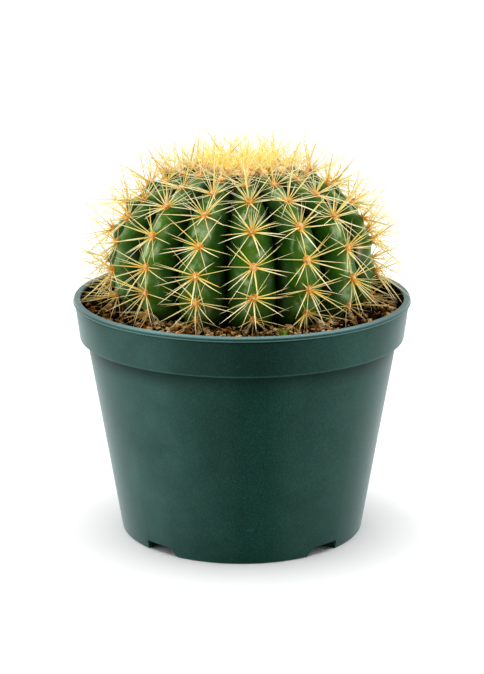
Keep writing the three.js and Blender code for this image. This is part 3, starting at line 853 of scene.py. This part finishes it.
def makePads():
    dome, hair = padShape(), hairShape()
    grown = joinCopies("areole_pads", padCopies(grownAreoles, pad["radius"], pad["height"], dome, hair))
    rows = ["spine_row_%02d" % (rib + 1) for rib in range(stem["ribs"])]
    settle(grown, padFelt("areoleFelt", pad["felt"]), "crown_wool", *rows)
    copies = padCopies(youngAreoles, pad["youngRadius"], pad["youngHeight"], dome, hair)
    young = joinCopies("crown_pads", copies)
    settle(young, padFelt("youngAreoleFelt", pad["youngFelt"]), "crown_wool", "crown")


makePads()
print("areole pads ready:", len(grownAreoles), "grown,", len(youngAreoles), "young")


# The lie of the potting mix, which the spines stay clear of

soil = {
    "wallHeight": 102.4, "mound": 2.4, "moundFade": (54.0, 72.0), "frontRise": 1.4, "lump": 0.35,
    "gutter": 2.2, "gutterFrom": 63.0, "gutterWidth": 9.0,      # watering has washed it down along the wall
}


def soilHeight(x, y):
    around = np.arctan2(x, -y)
    radius = np.hypot(x, y)
    mound = soil["mound"] * (1 - eased(radius, *soil["moundFade"]))
    lumps = np.sin(5 * around + 0.4 * radius) + np.sin(9 * around - 0.23 * radius)
    gutter = soil["gutter"] * np.clip((radius - soil["gutterFrom"]) / soil["gutterWidth"], 0.0, 1.0) ** 1.5
    return soil["wallHeight"] + mound - gutter + soil["frontRise"] * np.cos(around) + soil["lump"] * lumps


# Spines

spines = {
    "sides": 5, "width": 0.355,     # half thickness of a spine of thickness 1, near its base
    "limitSide": 75.3, "limitTop": 181.5, "limitInRim": 71.4, "rimHeight": 109.5, "shortest": 4.0,
    # clock angle from straight down, tilt from straight out, length, thickness
    "leader": [(180, 24, 20.5, 0.95)],      # stands out, the stoutest on a young areole
    "central": [(2, 52, 19.5, 1.06), (-58, 46, 20.5, 0.86), (60, 46, 20.5, 0.86), (-124, 38, 20.0, 0.72),
                (122, 40, 20.0, 0.74)],
    "inner": [(-28, 24, 19.0, 0.50), (148, 28, 18.5, 0.46), (-90, 26, 18.5, 0.46), (92, 24, 18.0, 0.46)],
    "radial": [(-24, 69, 15.5, 0.60), (26, 70, 15.5, 0.60), (-42, 72, 17.0, 0.62), (76, 73, 17.5, 0.62),
               (-80, 73, 17.5, 0.62), (-104, 73, 16.0, 0.54), (104, 73, 16.0, 0.54),
               (-150, 70, 14.0, 0.46), (152, 70, 14.0, 0.46)],
    # the fine ones that fan out flat over the young ribs, on the side of the crown
    "comb": [(-174, 79, 9.5, 0.36), (-162, 81, 10.0, 0.36), (-148, 81, 10.5, 0.38), (-134, 81, 11.0, 0.40),
             (-112, 83, 12.0, 0.42), (112, 83, 12.0, 0.42), (134, 81, 11.0, 0.40), (148, 81, 10.5, 0.38),
             (162, 81, 10.0, 0.36), (174, 79, 9.5, 0.36)],
    "combTo": 62.0,                         # below this arc they are gone
    # fine ones at random: usual number, other numbers on the ribs in front and at the right
    "extra": 5, "extraOn": {0: 0, 1: 0, 2: 0, 3: 8, 4: 8, 13: 0, 14: 0},
    "extraTilts": (15, 70), "extraSize": (21.0, 0.60),
    "missing": 0.14, "unborn": 0.75, "thinned": 0.4,        # chances of being left out
    "lengths": (0.82, 1.12), "widths": (0.85, 1.1), "bends": (-0.08, 0.17), "twists": (-0.8, 0.8),
    "swing": (8, 60), "sway": (6, 12),                      # usual, and a leader's, in degrees
    "youthFade": (26, 54), "ageFade": (84, 95), "finer": 0.3,   # the young and the lowest have finer ones
    "rootShare": 0.7, "rootLift": 0.25, "shrink": 0.93,
    "paleness": (0.0, 0.8), "soiling": (0.3, 1.9),
    # painted light and painted shade: spines that point down, the combs and the young ones near the top are
    # paler; those that point up, the leaders, and those on the ribs at the sides and back are more golden
    "paintedLightOf": {"comb": 0.35, "leader": -0.45}, "paintedLightDown": 0.35,
    "paintedLightYoung": 0.36, "paintedLightYoungFade": (40, 64), "paintedShadeAside": -0.05,
    "upright": 0.15, "uprightFade": (20.0, 46.0),           # the young ones lean upwards
    "wornBelow": 115, "wornFade": 9,
    "tones": [(0.0, "#d98620"), (0.10, "#ecc04c"), (0.34, "#efd672"), (0.80, "#e9d184"), (1.0, "#b9823a")],
    # the pale and the amber colours carry painted light and painted shade as well as each spine's own tone
    "pale": "#faebba", "amber": "#e8aa3c", "dull": "#86642a", "glow": 0.35, "ridgeScale": 1300.0,
}


def spineShape():  # a five-sided needle with a swollen foot, one long
    profile = [(1.25, 0.0), (1.02, 0.07), (0.90, 0.26), (0.75, 0.48), (0.54, 0.69), (0.33, 0.87), (0.05, 1.0)]
    return template(ringShape("needle", profile, spines["sides"]))


def spineHorn(name, tones, glow):
    # dried spine horn: hard and slightly glossy like a quill, amber at the foot, straw above
    material, tree, shader = newMaterial(name, Roughness=0.38, IOR=1.52, Subsurface_Weight=glow,
                                         Subsurface_Scale=0.0008, Subsurface_Radius=(1.0, 0.92, 0.6))
    along, tone = painted(tree, "along"), painted(tree, "tone")
    ridges = noiseAt(tree, objectPlace(tree), spines["ridgeScale"])
    # painted shade: a tone below zero turns a spine amber; above zero it turns pale along its length, partly
    # by its own random tone and partly by painted light
    young = ranged(tree, tone, (0.0, -0.5), (0.0, 0.75))
    pale = combined(tree, "MULTIPLY", tone, ranged(tree, along, (0.04, 0.35)))
    soiled = combined(tree, "MULTIPLY", painted(tree, "worn"), ridges)
    colour = mixed(tree, young, ramped(tree, along, tones), spines["amber"])
    colour = mixed(tree, pale, colour, spines["pale"])
    colour = mixed(tree, soiled, colour, spines["dull"])
    feed(tree, shader, Base_Color=colour)
    roughen(tree, shader, ridges, 0.25, 0.0002)
    return material


def fits(tip):  # inside the CAD model's box, inside the rim low down, and off the soil
    if abs(tip[0]) > spines["limitSide"] or abs(tip[1]) > spines["limitSide"] or tip[2] > spines["limitTop"]:
        return False
    reach = math.hypot(tip[0], tip[1])
    if tip[2] < spines["rimHeight"] and reach > spines["limitInRim"]:
        return False
    return tip[2] > float(soilHeight(tip[0], tip[1])) + 0.5


def growSpine(needle, spot, clock, tilt, length, thickness, upright=1.0, paintedLight=0.0):
    clock, tilt = math.radians(clock), math.radians(tilt)
    around = spot["down"] * math.cos(clock) + spot["side"] * math.sin(clock)
    way = spot["out"] * math.cos(tilt) + around * math.sin(tilt)
    youth = 1 - float(eased(spot["arc"], *spines["uprightFade"]))
    way = way + np.array((0, 0, spines["upright"])) * youth * upright
    way /= np.linalg.norm(way)
    fromMiddle = around * pad["radius"] * spines["rootShare"] * math.sin(tilt)
    root = spot["point"] + fromMiddle + spot["out"] * spines["rootLift"]
    bend = dice.uniform(*spines["bends"])
    twist = dice.uniform(*spines["twists"])
    bendWay = -spot["out"] * math.sin(tilt) + around * math.cos(tilt) + np.cross(way, around) * twist
    while length > spines["shortest"] and not fits(root + way * length + bendWay * bend * length):
        length *= spines["shrink"]
    if length <= spines["shortest"]:
        return None
    roll = dice.uniform(0, anyRoll)
    points = aim(needle[0], root, way, spines["width"] * thickness, length, bend, bendWay, roll)
    # each spine's own random paleness, plus painted light
    tone = dice.uniform(*spines["paleness"]) ** 1.4 + paintedLight
    low = np.clip((spines["wornBelow"] - points[:, 2]) / spines["wornFade"], 0, 1)
    worn = low * dice.uniform(*spines["soiling"])
    return points, needle[1], {"along": needle[0][:, 2], "tone": tone, "worn": worn}


def isLeftOut(kind, youth, isAside):
    if kind in ("radial", "inner") and dice.random() < spines["missing"]:
        return True
    if kind in ("central", "inner") and dice.random() < spines["unborn"] * youth:
        return True
    return isAside and kind in ("comb", "inner", "radial") and dice.random() < spines["thinned"]


def growAreole(needle, spot):  # all the spines of one areole
    rib, arc = spot["rib"], spot["arc"]
    youth = 1 - float(eased(arc, *spines["youthFade"]))
    low = float(eased(arc, *spines["ageFade"]))
    # painted light on the young ones near the top
    youngPaintedLight = spines["paintedLightYoung"] * (1 - float(eased(arc, *spines["paintedLightYoungFade"])))
    extras = spines["extraOn"].get(rib, spines["extra"])
    sets = {kind: spines[kind] for kind in ("leader", "central", "inner", "radial")}
    if arc < spines["combTo"]:
        sets["comb"] = spines["comb"]
    sets["extra"] = [(dice.uniform(0, 360), dice.uniform(*spines["extraTilts"]), *spines["extraSize"])
                     for _ in range(extras)]
    grown = []
    for kind, places in sets.items():
        isLeader = kind == "leader"
        stouter = 1 + spines["finer"] * youth if isLeader else 1 - spines["finer"] * max(youth, low)
        for clock, tilt, length, thickness in places:
            if isLeftOut(kind, youth, extras > 0):
                continue
            swing = dice.gauss(0, 1) * spines["swing"][isLeader]
            lean = dice.gauss(0, 1) * spines["sway"][isLeader]
            # painted light and painted shade by kind and by the way a spine points
            paintedLight = spines["paintedLightOf"].get(kind, spines["paintedLightDown"] * math.cos(math.radians(clock)))
            paintedLight += spines["paintedShadeAside"] if extras else youngPaintedLight
            length *= dice.uniform(*spines["lengths"])
            thickness *= stouter * dice.uniform(*spines["widths"])
            grown.append(growSpine(needle, spot, clock + swing, tilt + lean, length, thickness,
                                   paintedLight=paintedLight))
    return [spine for spine in grown if spine]


def makeSpineRows():
    needle = spineShape()
    horn = spineHorn("strawSpineHorn", spines["tones"], spines["glow"])
    count = 0
    for rib in range(stem["ribs"]):
        copies = []
        for spot in (s for s in grownAreoles if s["rib"] == rib):
            copies += growAreole(needle, spot)
        row = joinCopies("spines_%02d" % (rib + 1), copies)
        settle(row, horn, "golden_spine", "spine_row_%02d" % (rib + 1))
        count += len(copies)
    print("spine rows ready:", count, "spines")


makeSpineRows()


# The crown

crown = {
    "woolRadius": 16.0, "woolThickness": 1.6, "woolLump": 0.9, "lumpScale": 5.5, "lumpTone": 0.3,
    "wool": [(0.30, "#efbb74"), (0.52, "#fbd794"), (0.72, "#fee9b8"), (0.86, "#fff2d8")],
    "stout": 2, "stoutTilt": (8, 64), "stoutLength": (14.0, 22.0), "stoutThickness": (0.7, 1.3),
    "thin": 6, "thinTilt": (40, 86), "thinLength": (10.5, 18.0), "thinThickness": (0.38, 0.62),
    "upright": 0.15,
    "bristles": 14, "bristleReach": 26.0, "bristleTilt": (10, 70), "bristleLength": (4.0, 9.0),
    "bristleThickness": 0.36, "bristleUpright": 0.1,
    "tones": [(0.0, "#f8b440"), (0.12, "#ffd250"), (0.40, "#ffdf6a"), (0.85, "#f8d27a"), (1.0, "#b87a2e")],
    "glow": 0.95,
}


def makeCrownWool():
    wool = ballShape("crown_wool_cushion", 96, 40)
    ball = meshPoints(wool)
    arc = crown["woolRadius"] * np.hypot(ball[:, 0], ball[:, 1])
    turn = np.arctan2(ball[:, 0], -ball[:, 1])
    lump = np.array([noise.noise(Vector(p) * crown["lumpScale"]) for p in ball])
    lift = ball[:, 2] * crown["woolThickness"] + np.where(ball[:, 2] > 0, lump * crown["woolLump"], 0)
    placePoints(wool, offCrest(turn, arc, lift) * mm)
    paintPoints(wool, tone=lump * crown["lumpTone"])
    wool.data.shade_smooth()
    settle(wool, padFelt("crownWool", crown["wool"]), "crown_wool", "crown")


def makeCrownSpines():
    needle = spineShape()
    grown = []
    for spot in youngAreoles:
        for kind in ("stout", "thin"):
            count = crown[kind] if kind == "thin" or spot["arc"] > 12 else dice.randrange(2)
            for i in range(count):
                clock = 360 * (i + dice.random()) / count
                tilt, length, thickness = (dice.uniform(*crown[kind + size])
                                           for size in ("Tilt", "Length", "Thickness"))
                grown.append(growSpine(needle, spot, clock, tilt, length, thickness, crown["upright"]))
    for _ in range(crown["bristles"]):
        arc = crown["bristleReach"] * math.sqrt(dice.random())
        spot = areoleFrame(dice.randrange(stem["ribs"]), arc, 1.0, dice.uniform(-12, 12))
        clock = dice.uniform(0, 360)
        tilt, length = dice.uniform(*crown["bristleTilt"]), dice.uniform(*crown["bristleLength"])
        grown.append(growSpine(needle, spot, clock, tilt, length, crown["bristleThickness"],
                               crown["bristleUpright"]))
    copies = [spine for spine in grown if spine]
    tuft = joinCopies("crown_spines", copies)
    settle(tuft, spineHorn("goldenSpineHorn", crown["tones"], crown["glow"]), "golden_spine", "crown")
    print("crown ready:", len(copies), "spines and bristles")


makeCrownWool()
makeCrownSpines()


# The potting mix

mix = {
    "segments": 260, "bedUnder": 1.6, "under": [(20.0, 92.0), (70.3, 92.0), (72.1, 95.0), (73.0, 101.0)],
    "topRings": 60, "topFrom": 72.95, "topStep": 0.55, "fibreScale": 700.0,
    "crumbs": [(0.45, 1.1), (1.4, 0.6)],                        # noise scale, height
    "tones": [(0.05, "#0a0501"), (0.30, "#4c2c08"), (0.52, "#aa721c"), (0.74, "#e6b05a"), (0.95, "#fbe4bc")],
    "pumice": [(0.1, "#8a6030"), (0.4, "#ca9c60"), (0.7, "#ebcd9e"), (1.0, "#f9ead2")],
    # (shapes, flatness, cuts, narrowness), count, sizes, tones (from, to, commonest), how deep they lie
    "grains": {
        "bark_chunks": ((8, 0.26, 1, 0.42), 220, (1.6, 3.0), (-0.1, 1.2, 0.55), 0.5),
        "bark_chips": ((10, 0.34, 0, 0.55), 2100, (0.6, 2.1), (-0.25, 1.35, 0.36), 0.35),
        "bark_crumbs": ((6, 0.7, 0, 0.62), 3800, (0.3, 0.9), (-0.2, 1.35, 0.45), 0.4),
        "pumice_grit": ((4, 0.85, 1, 0.62), 280, (0.8, 2.1), (0.0, 1.0, 0.6), 0.1)},
    "ring": (49.0, 71.6), "ringLimit": 72.4, "heights": (-1.3, 0.9), "tilt": 30, "lengths": (0.7, 1.2),
    # painted shade: the crumbs are darker at the sides, more on the left
    "sideShadeLeft": 0.65, "sideShadeRight": 0.40, "sideShadeFade": (34.0, 60.0),  # darker at the sides
}
# painted shade: a near black sheet laid on the inner wall
innerShadeSheet = {
    "speckScale": 500.0, "top": 107.3, "foot": 99.0, "outer": pot["rimInner"] - 0.05, "thickness": 0.25,
    "tones": [(0.45, "#030302"), (0.62, "#140d06"), (0.80, "#3a2812")],
}


def barkMix(name, tones):
    # composted bark and peat, with pumice grit: matt, fibrous, each crumb with its own tone
    material, tree, shader = newMaterial(name, Roughness=0.9, IOR=1.4, Specular_IOR_Level=0.08)
    fibre = noiseAt(tree, objectPlace(tree), mix["fibreScale"], detail=4.0, roughness=0.7)
    spread = ranged(tree, fibre, (0.2, 0.8), (-0.38, 0.38))
    toned = combined(tree, "ADD", painted(tree, "tone"), spread)
    feed(tree, shader, Base_Color=ramped(tree, toned, tones))
    roughen(tree, shader, fibre, 0.7, 0.0005)
    return material


def makeSoilBed():
    flat = mix["under"][-1][1] + 0.5
    rings = mix["under"] + [(mix["topFrom"] - mix["topStep"] * i, flat) for i in range(mix["topRings"])]
    bed = ringShape("soil_bed", rings, mix["segments"])
    points = meshPoints(bed) / mm
    top = points[:, 2] > flat - 0.3
    crumbs = np.array([sum(noise.noise(Vector(p) * scale) * height for scale, height in mix["crumbs"])
                       for p in points])
    points[top, 2] = (soilHeight(points[:, 0], points[:, 1]) - mix["bedUnder"] + crumbs)[top]
    placePoints(bed, points * mm)
    paintPoints(bed, tone=0.02 + 0.10 * crumbs)
    bed.data.shade_smooth()
    return bed


def makeInnerShadeSheet():  # painted shade: a near black sheet on the inner wall, from the mix up to the lip
    outer, inner = innerShadeSheet["outer"], innerShadeSheet["outer"] - innerShadeSheet["thickness"]
    foot, top = innerShadeSheet["foot"], innerShadeSheet["top"]
    profile = [(outer, foot), (outer, top), (inner, top - 0.4), (inner, foot), (outer, foot)]
    lining = ringShape("inner_shade_sheet", profile, pot["segments"], isFilled=False)
    lining.data.shade_smooth()
    # painted shade: near black, matt, with a few lighter specks
    innerShadeMaterial = mottled("paintedInnerShade", innerShadeSheet["speckScale"], innerShadeSheet["tones"], 3.0, (0.6, 0.0003),
                     Roughness=0.95, IOR=1.4, Specular_IOR_Level=0.04)
    settle(lining, innerShadeMaterial, "potting_mix")


def crumbShapes(count, flatness, cuts, narrow):  # broken bark and grit: cubes cut up and knocked about
    shapes = []
    for i in range(count):
        clearSelection()
        bpy.ops.mesh.primitive_cube_add(size=1.4 * mm, location=(0, 0, 0), scale=(1.0, narrow, flatness))
        crumb = startShape("crumb")
        if cuts:
            bpy.ops.mesh.subdivide(number_cuts=cuts)
        bpy.ops.transform.vertex_random(offset=0.34 * mm, seed=11 + i)
        closeShape()
        shapes.append(template(crumb))
    return shapes


def scatter(name, shapes, count, sizes, tones, sink):
    copies = []
    while len(copies) < count:
        azimuth = dice.uniform(0, 2 * math.pi)
        reach = dice.uniform(*mix["ring"])
        x, y = reach * math.sin(azimuth), -reach * math.cos(azimuth)
        size = sizes[0] + (sizes[1] - sizes[0]) * dice.random() ** 1.6
        if reach + size * 0.8 > mix["ringLimit"]:
            continue
        z = float(soilHeight(x, y)) - sink + dice.uniform(*mix["heights"])
        tilt = math.radians(dice.gauss(0, mix["tilt"]))
        up = tipped(tilt, dice.uniform(0, 2 * math.pi))
        shape = dice.choice(shapes)
        length = size * dice.uniform(*mix["lengths"])
        points = aim(shape[0], np.array((x, y, z)), up, size, length, roll=dice.uniform(0, anyRoll))
        # painted shade: darker at the sides, more on the left
        sideShade = (mix["sideShadeLeft"] if x < 0 else mix["sideShadeRight"]) * float(eased(abs(x), *mix["sideShadeFade"]))
        copies.append((points, shape[1], {"tone": dice.triangular(*tones) - sideShade}))
    return joinCopies(name, copies, smooth=False)


def makeSoil():
    bark = barkMix("barkAndPeat", mix["tones"])
    pumice = barkMix("pumiceGrit", mix["pumice"])
    settle(makeSoilBed(), bark, "potting_mix", "potting_soil")
    makeInnerShadeSheet()
    for name, (shapes, count, sizes, tones, sink) in mix["grains"].items():
        grains = scatter(name, crumbShapes(*shapes), count, sizes, tones, sink)
        settle(grains, pumice if name == "pumice_grit" else bark, "potting_mix", "potting_soil")
    print("potting mix ready")


makeSoil()


# Two tiny seedlings in the mix

sprout = {
    "places": [(16.9, -62.4), (18.0, -61.6)], "leaves": 4, "length": 6.9, "width": 1.05, "droop": 0.3,
    "lengths": (0.6, 1.0), "tilts": (6, 38),
    "tones": [(0.1, "#a4b43c"), (0.7, "#64901a")],
}


def makeSprouts():
    needle = spineShape()
    copies = []
    for x, y in sprout["places"]:
        ground = np.array((x, y, float(soilHeight(x, y)) - 0.3))
        for _ in range(sprout["leaves"]):
            tilt = math.radians(dice.uniform(*sprout["tilts"]))
            way = tipped(tilt, dice.uniform(0, anyRoll))
            length = sprout["length"] * dice.uniform(*sprout["lengths"])
            points = aim(needle[0], ground, way, sprout["width"], length, sprout["droop"],
                         np.array((0, 0, -1.0)), dice.uniform(0, anyRoll))
            copies.append((points, needle[1], {"along": needle[0][:, 2]}))
    piece = joinCopies("seedlings", copies)
    # young leaf: soft, fresh yellow green
    material, tree, shader = newMaterial("seedlingLeaf", Roughness=0.5, IOR=1.4)
    feed(tree, shader, Base_Color=ramped(tree, painted(tree, "along"), sprout["tones"]))
    settle(piece, material, "stem_skin")


makeSprouts()


# The roots keep their CAD shape

rootBark = {"wrinkles": 600.0, "tones": [(0.3, "#7a5a38"), (0.7, "#c2a077")]}


def dressRoots():
    # root bark: thin, corky, fawn, wrinkled round the root every half millimetre or so
    material = mottled("rootBark", rootBark["wrinkles"], rootBark["tones"], 4.0, (0.6, 0.0005),
                       Roughness=0.85, IOR=1.4)
    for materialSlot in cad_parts["roots"].material_slots:
        materialSlot.material = material


dressRoots()
